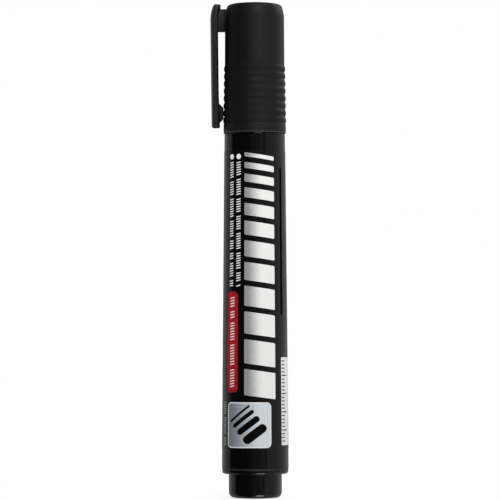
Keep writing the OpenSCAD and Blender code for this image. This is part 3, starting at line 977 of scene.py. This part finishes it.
def sliced(bm, axis, places):
    """Cuts a mesh straight across at several places along an axis."""
    normal = Vector((axis == "x", axis == "y", axis == "z"))
    for place in places:
        bmesh.ops.bisect_plane(bm, geom=bm.verts[:] + bm.edges[:] + bm.faces[:],
                               plane_co=normal * place * MM, plane_no=normal)


def join(bm, other):
    """Adds a second mesh to a mesh."""
    scratch = bpy.data.meshes.new("join")
    other.to_mesh(scratch)
    other.free()
    bm.from_mesh(scratch)
    bpy.data.meshes.remove(scratch)


hinge = next(j for j in frame["joints"] if j["name"] == "clip_flex")
hinge_x, _, hinge_z = (c / MM for c in hinge["pos_m"])
clip_inner = hinge_x + CLIP_THICK / 2
wall_x = -shell_top_r
bridge_low = crown_z - BRIDGE_BOTTOM_DROP
bridge_high = crown_z - BRIDGE_TOP_DROP
bridge = bmesh.new()
block(bridge, (hinge_x, -BRIDGE_WIDTH / 2, bridge_low), (wall_x + BRIDGE_ROOT, BRIDGE_WIDTH / 2, bridge_high))
long_edges = [e for e in bridge.edges if abs(e.verts[0].co.x - e.verts[1].co.x) > MM]
rounded(bridge, long_edges, BRIDGE_EDGE * MM, "EDGES", EDGE_STEPS)
run = wall_x + CUTS_END - clip_inner
sliced(bridge, "x", [clip_inner + run * i / BRIDGE_CUTS for i in range(1, BRIDGE_CUTS)])
rub_and_sheen = bridge.verts.layers.float.new("rub_and_sheen")
for v in bridge.verts:
    # Painted sheen on the bridge above its lower rounded edge; that edge, which faces down, keeps the darkest
    # colour as painted shade.
    v[rub_and_sheen] = BRIDGE_RUB_AND_SHEEN if v.co.z > (bridge_low + 2 * BRIDGE_EDGE) * MM else 0
    x = v.co.x / MM
    near = min(x - clip_inner, wall_x + FLARE_ROOT - x)
    gone = min(1.0, max(0.0, 1 - near / FLARE))
    flare = FLARE * (1 - math.sqrt(1 - gone * gone))
    v.co.y += math.copysign(FLARE_SIDEWAYS * flare * MM, v.co.y)
join(bm, bridge)
piece(bm, "cap_shell", [etched, scuff_and_highlight], "cap", "cap")

# %% [markdown]
# ## The clip
# The clip hangs from the bridge and is one moulding with the cap. Its side outline is drawn flat, its corners
# are rounded, and it is extruded to its width. A box could be bent and bevelled to this shape too, but an
# outline puts each corner where it is wanted. Cuts across it let it bow outwards and narrow towards the tip,
# and close cuts at its root, where the frame has its hinge, leave room for a smooth bend there. A pip on the
# inside grips the pocket, and its flat tip is hollowed to lie round the rings. The faces that look at the cap
# get painted shade: a darker black without specular reflection, where shade falls in the gap.

# %% Side outline of the clip, cut out as a plate
CLIP_TOP_DROP, CLIP_TIP_RISE = 0.1, 1.7
CLIP_HEAD, CLIP_TIP = 5.6, 4.8
CLIP_EDGE, TIP_EDGE = 0.24, 0.6
# Corners of the head: distance from the outer or the inner face, drop from the top, and rounding
HEAD_OUTSIDE = [(0, 3.1, 1.0), (0.45, 1.2, 0.7), (0.95, 0, 0.4)]
HEAD_INSIDE = [(0.85, 0, 0.4), (0.8, 1.1, 0.4), (0, 3.8, 0.9)]
FACING_SIDEWAYS = 0.9

clip_outer = hinge_x - CLIP_THICK / 2
clip_top = crown_z - CLIP_TOP_DROP
clip_tip = mouth_z + CLIP_TIP_RISE
side = [
    (clip_outer, clip_tip, TIP_EDGE),
    *((clip_outer + inset, clip_top - drop, rounding) for inset, drop, rounding in HEAD_OUTSIDE),
    *((clip_inner + inset, clip_top - drop, rounding) for inset, drop, rounding in HEAD_INSIDE),
    (clip_inner, clip_tip, TIP_EDGE)]


def side_plate(corners, width, edge):
    """A plate cut to a side outline, with rounded corners, and rounded edges along both sides."""
    bm = bmesh.new()
    verts = [bm.verts.new((c[0] * MM, -width / 2 * MM, c[1] * MM)) for c in corners]
    bm.faces.new(verts)
    round_corners(bm, corners, verts)
    drawn_out(bm, (0, width * MM, 0))
    bm.normal_update()
    sides = [f for f in bm.faces if abs(f.normal.y) > FACING_SIDEWAYS]
    rounded(bm, [e for f in sides for e in f.edges], edge * MM, "EDGES", EDGE_STEPS)
    return bm


bm = side_plate(side, CLIP_HEAD, CLIP_EDGE)
print(f"clip {clip_top - clip_tip:.1f} mm long, {CLIP_THICK} mm thick")

# %% Cuts, bow, and rubbed and sheen-painted outside of the clip
END_CUTS = (0.15, 0.4, 0.8, 1.2)
ROOT_START, ROOT_STEP, ROOT_CUTS = 2, 0.4, 12
ARM_START, ARM_STEP, ARM_CUTS = 2, 2.5, 9
BOW_CUTS = 6
CLIP_BOW = 5.5
CLIP_CORNER = 1.2
CLIP_LEAN = -0.6
INNER_ROUND = 0.5
TIP_SWELL = 0.25
CLIP_RUB_AND_SHEEN, TIP_RUB, HEAD_RUB, INNER_PAINTED_SHADE = 0.8, 1.4, 0.2, -1
RUB_RISE = 5
OUTER_FACE = 0.95
FACING_CAP = 0.1
PIP_HALF = 2.8

pip_z = rings_z + RING_PITCH
swell_z = pip_z + 2 * PIP_HALF
sliced(bm, "z", [clip_tip + d for d in END_CUTS] + [clip_top - d for d in END_CUTS])
sliced(bm, "z", [hinge_z + ROOT_START - ROOT_STEP * i for i in range(ROOT_CUTS)])
sliced(bm, "z", [clip_tip + ARM_START + ARM_STEP * i for i in range(ARM_CUTS)])
sliced(bm, "y", [CLIP_HEAD / 2 * i / BOW_CUTS for i in range(1 - BOW_CUTS, BOW_CUTS)])
sliced(bm, "x", [clip_inner - INNER_ROUND * i / ROUND_STEPS for i in range(1, ROUND_STEPS + 1)])
rub_and_sheen = bm.verts.layers.float.new("rub_and_sheen")
for v in bm.verts:
    x, y, z = v.co / MM
    share = (z - clip_tip) / (clip_top - clip_tip)
    half = (CLIP_TIP + (CLIP_HEAD - CLIP_TIP) * share) / 2
    left = max(0.0, CLIP_CORNER - min(z - clip_tip, clip_top - z))
    half -= CLIP_CORNER - math.sqrt(max(0.0, CLIP_CORNER ** 2 - left ** 2))
    inwards = min(1.0, max(0.0, 1 - (clip_inner - x) / INNER_ROUND))
    half -= INNER_ROUND * (1 - math.sqrt(1 - inwards ** 2))
    y *= half / (CLIP_HEAD / 2)
    outwards = min(1.0, max(0.0, (clip_inner - x) / CLIP_THICK))
    # Painted light in the mask: the outside of the clip is painted lighter as a sheen, and below the top of
    # the bridge the band beside the cap is held below zero as painted shade.
    v[rub_and_sheen] = min(CLIP_RUB_AND_SHEEN, RUB_RISE * outwards + (HEAD_RUB if z > bridge_high else INNER_PAINTED_SHADE))
    if outwards > OUTER_FACE:
        v[rub_and_sheen] += TIP_RUB * (1 - share)
    x += outwards * (CLIP_BOW - math.sqrt(CLIP_BOW ** 2 - y ** 2))
    x += (1 - outwards) * TIP_SWELL * max(0.0, (swell_z - z) / (swell_z - clip_tip))
    v.co = Vector((x, y, z)) * MM
bmesh.ops.rotate(bm, verts=bm.verts, cent=(hinge_x * MM, 0, hinge_z * MM),
                 matrix=Matrix.Rotation(math.radians(CLIP_LEAN), 3, "Y"))
bm.normal_update()
# Faces of the clip below the bridge that look at the cap get the painted shade finish.
for face in bm.faces:
    below_bridge = face.calc_center_median().z < bridge_low * MM
    face.material_index = int(below_bridge and face.normal.x > FACING_CAP)
print("dull faces:", sum(f.material_index for f in bm.faces))

# %% Pip of the clip
PIP_WIDTH, PIP_FLAT, PIP_EDGE = 3.2, 0.5, 0.2
PIP_CUTS = 8

pip_x = -(groove_low_r + RING_HEIGHT)
pip_rise = (pip_x - clip_inner) / (1 - PIP_FLAT ** 2)


def flank(start, end, steps=8):
    """Corners of one flank of the pip, between two shares of its half length."""
    shares = [start + (end - start) * i / steps for i in range(steps + 1)]
    return [(clip_inner + pip_rise * (1 - t * t), pip_z + t * PIP_HALF) for t in shares]


pip = side_plate([(hinge_x, pip_z + PIP_HALF), *flank(1, PIP_FLAT), *flank(-PIP_FLAT, -1),
                  (hinge_x, pip_z - PIP_HALF)], PIP_WIDTH, PIP_EDGE)
sliced(pip, "y", [PIP_WIDTH * i / PIP_CUTS for i in range(1 - PIP_CUTS // 2, PIP_CUTS // 2)])
for v in pip.verts:
    height = max(0.0, (v.co.x / MM - clip_inner) / (pip_x - clip_inner))
    hollow = -pip_x - math.sqrt(pip_x ** 2 - (v.co.y / MM) ** 2)
    v.co.x += height * hollow * MM
join(bm, pip)
clip = piece(bm, "pocket_clip", [etched, painted_shade_finish], stands_for="clip")
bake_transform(clip)

# %% [markdown]
# ## The writing end
# Under the cap a nose piece holds the nib. It has a land that the inner cap seals on, and three slots beside
# the nib that let air into the reservoir. The slots are pushed into the bore after the spin. A Boolean could
# cut them, but moving corners that are already there leaves a cleaner mesh.

# %% Nose piece
FUNNEL_R, FUNNEL_LENGTH, FUNNEL_CONE = 3.6, 3.5, 1
HOLDER_FLANGE = 0.8
LAND_LENGTH, LAND_STEP, LAND_STEP_RISE, LAND_EDGE = 3.6, 0.4, 0.7, 0.15
NOSE_EDGE, NOSE_JAWS, BORE_EDGE = 0.35, 0.15, 0.08
VENT_COUNT, VENT_WIDTH, VENT_DEPTH, VENT_REACH = 3, 0.7, 0.6, 0.1

smooth = moulded_finish("smooth_black", colours=(grey(0.006), grey(0.009)), roughness=(0.26, 0.36),
                        depth=0.004, Grain=4000, Patch=300)

holder_low, holder_high = span("nib_holder")
nib_low, nib_high = span("nib")
nib_r = nib_high.x
bore_r = nib_r + RUN_GAP
stem_r = holder_bore_r - PRESS_GAP
land_z = collar_top + HOLDER_FLANGE
land_r = caliper("nib_holder", land_z + LAND_LENGTH)
nose_r = caliper("nib_holder", holder_high.z - NOSE_EDGE, NOSE_JAWS)
bm = turned([
    (FUNNEL_R, holder_low.z), (stem_r, holder_low.z, LEAD_IN), (stem_r, collar_top),
    (holder_high.x, collar_top, CRISP), (holder_high.x, land_z, EDGE),
    (land_r, land_z, LAND_EDGE), (land_r, land_z + LAND_LENGTH, LAND_EDGE),
    (land_r - LAND_STEP, land_z + LAND_LENGTH + LAND_STEP_RISE, SOFT), (nose_r, holder_high.z, NOSE_EDGE),
    (bore_r, holder_high.z, BORE_EDGE), (bore_r, holder_low.z + FUNNEL_LENGTH + FUNNEL_CONE),
    (FUNNEL_R, holder_low.z + FUNNEL_LENGTH)])
slot_half = math.asin(VENT_WIDTH / 2 / bore_r)
for v in bm.verts:
    radius = math.hypot(v.co.x, v.co.y)
    turn = (math.atan2(v.co.y, v.co.x) / math.tau * VENT_COUNT) % 1 - 0.5
    if radius < (bore_r + VENT_REACH) * MM and abs(turn) * math.tau / VENT_COUNT <= slot_half:
        v.co.xy *= (radius + VENT_DEPTH * MM) / radius
piece(bm, "nose_piece", [smooth], "barrel", "nib_holder")

# %% [markdown]
# The nib is a rod of bonded fibres, ground to a bullet shape and soaked with ink. Long thin streaks along it,
# as a bump and as tones, show the fibres. Strands of hair could show them too, but at this size nobody could
# tell the difference.

# %% Fibre nib
NIB_TIP, NIB_BLUNT, NIB_EDGE = 3.6, 0.75, 0.15
NIB_STEPS, BULLET_STEPS = 72, 14

felt = Finish("inked_fibre", roughness=0.8)
strands = felt.effect(fibred)
felt.colours(strands["Tone"], grey(0.006), (0.022, 0.022, 0.026))
felt.bump(strands["Height"], depth=0.03, strength=0.7)
felt.shader.inputs["Sheen Weight"].default_value = 0.15

blunt = math.acos(NIB_BLUNT / nib_r)
tip_z = nib_high.z - NIB_TIP * math.sin(blunt)
turns = [blunt * i / BULLET_STEPS for i in range(BULLET_STEPS + 1)]
bullet = [(nib_r * math.cos(a), tip_z + NIB_TIP * math.sin(a)) for a in turns]
bm = turned([(0, nib_low.z), (nib_r, nib_low.z, EDGE), *bullet[:-1], (*bullet[-1], NIB_EDGE),
             (0, nib_high.z)], NIB_STEPS)
piece(bm, "fibre_nib", [felt], "barrel", "nib")

# %% [markdown]
# ## The reservoir
# Inside the barrel a bundle of soft fibres holds the ink, wrapped in a thin milky film so that it can be
# pushed in from the rear. Both are turned, and the core has a pocket for the end of the nib. Neither shows on
# the finished marker, but each is there with its own finish.

# %% Ink core and its film
NIB_POCKET_GAP = 0.1
CORE_STEPS = 96

wick = Finish("inked_bundle", roughness=0.85)
strands = wick.effect(fibred, Count=6000)
wick.colours(strands["Tone"], grey(0.012), (0.05, 0.05, 0.058))
wick.bump(strands["Height"], depth=0.05, strength=0.8)
core_r, pocket_z = core_high.x, nib_low.z - NIB_POCKET_GAP
bm = turned([(0, core_low.z), (core_r, core_low.z, SOFT), (core_r, core_high.z, SOFT),
             (bore_r, core_high.z, CRISP), (bore_r, pocket_z), (0, pocket_z)], CORE_STEPS)
piece(bm, "fibre_core", [wick], "barrel", "ink_core")

milky = moulded_finish("milky_film", colours=(grey(0.52, 0.01), grey(0.66, 0.01)), roughness=(0.35, 0.5),
                       Grain=3000, Patch=160)
bm = turned([(core_r + PRESS_GAP, core_low.z), (sleeve_r, core_low.z, FINE), (sleeve_r, core_high.z, FINE),
             (core_r + PRESS_GAP, core_high.z)], CORE_STEPS)
piece(bm, "core_sleeve", [milky], "barrel", "core_film")

# %% [markdown]
# ## The inner cap
# The thin liner in the cap seals round the nose, so that the ink doesn't dry. It is soft natural plastic, a
# little waxy. Two flanges hold it in the cap, and a stud meets the cap's ceiling. All of it is one section,
# so one spin makes it.

# %% Inner cap
LINER_WALL, LINER_SEAL = 0.7, 3.0
LINER_END_IN, LINER_END_EDGE = 0.5, 0.4
LINER_FLANGE, FLANGE_RISE, FLANGE_DROP = 1.4, 0.4, 3.6
LINER_ROOF_DROP = 2.6
STUD_R = 1.5

waxy = moulded_finish("natural_liner", colours=((0.66, 0.65, 0.6), (0.76, 0.75, 0.7)), roughness=(0.42, 0.55),
                      depth=0.008, Grain=2500, Patch=200)

seal_r = land_r + RUN_GAP
end_r = land_r - LINER_END_IN
roof_z = liner_high.z - LINER_ROOF_DROP
end_z = roof_z - LINER_WALL


def liner_wall_r(z):
    """Outer radius of the liner's tapered wall at a height."""
    return LINER_WALL + seal_r + (end_r - seal_r) * (z - liner_low.z) / (end_z - liner_low.z)


def flange(z):
    """Corners of one flange of the liner, from a height up."""
    top = z + LINER_FLANGE
    return [(liner_wall_r(z), z, CRISP), (liner_high.x, z, EDGE), (liner_high.x, top, EDGE),
            (liner_wall_r(top), top, CRISP)]


bm = turned([
    (seal_r, liner_low.z, EDGE), (liner_wall_r(liner_low.z), liner_low.z, EDGE),
    *flange(liner_seat_z + FLANGE_RISE), *flange(end_z - FLANGE_DROP),
    (liner_wall_r(end_z), end_z), (end_r, roof_z, EDGE), (STUD_R, roof_z, EDGE), (STUD_R, liner_high.z, EDGE),
    (0, liner_high.z), (0, end_z), (end_r, end_z, LINER_END_EDGE), (seal_r, liner_low.z + LINER_SEAL)])
piece(bm, "inner_cap_liner", [waxy], "inner_cap", "inner_cap")

# %% [markdown]
# ## Last look at the sizes
# The dressed marker is meant to keep the size of the frame, so both boxes are printed side by side.

# %% Sizes and finish
visual_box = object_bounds()
for label, (low, high) in (("frame", cad_box), ("dressed", visual_box)):
    print(label, [round(c / MM, 2) for c in (*low, *high)])
